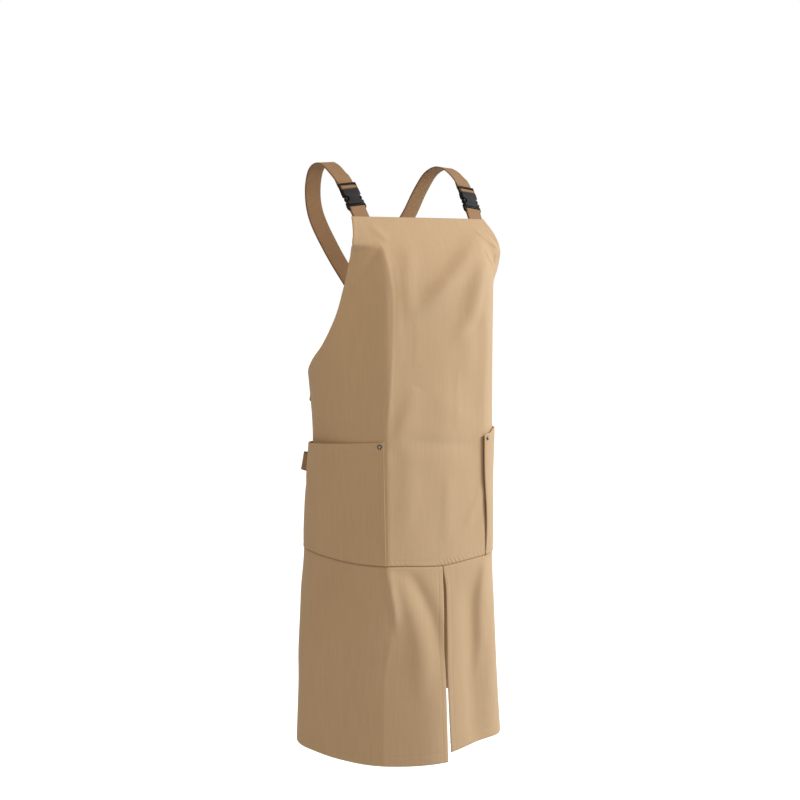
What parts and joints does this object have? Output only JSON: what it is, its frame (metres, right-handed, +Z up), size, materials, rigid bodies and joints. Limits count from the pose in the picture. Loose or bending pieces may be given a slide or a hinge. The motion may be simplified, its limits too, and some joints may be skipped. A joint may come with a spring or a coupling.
{
  "type": "work apron",
  "caption": "Bib work apron in its worn form: wraparound twill panel with armholes, split skirt, hip pockets, hip loop, and webbing straps with side-release buckles, crossed at the back.",
  "frame": {"origin": "midway between the shoulders, level with the underside of the straps where they pass over the shoulders", "axes": "+Z up along the body, -Y the way the wearer faces, +X to the wearer's left"},
  "size_m": [0.3419, 0.2342, 0.948],
  "materials": {
    "twill": "khaki cotton twill, matt",
    "webbing": "brown ribbed webbing",
    "buckle": "black moulded plastic, satin",
    "rivet": "bright nickel-plated steel"
  },
  "bodies": {
    "root": {"upper_panel": "twill", "skirt_right": "twill", "skirt_left": "twill", "pocket_right": "twill", "pocket_left": "twill", "side_loop": "webbing", "strap_right": "webbing", "strap_left": "webbing", "tab_right": "webbing", "tab_left": "webbing", "buckle_male_right": "buckle", "buckle_male_left": "buckle", "buckle_female_right": "buckle", "buckle_female_left": "buckle", "rivet_right": "rivet", "rivet_left": "rivet"}
  },
  "joints": []
}
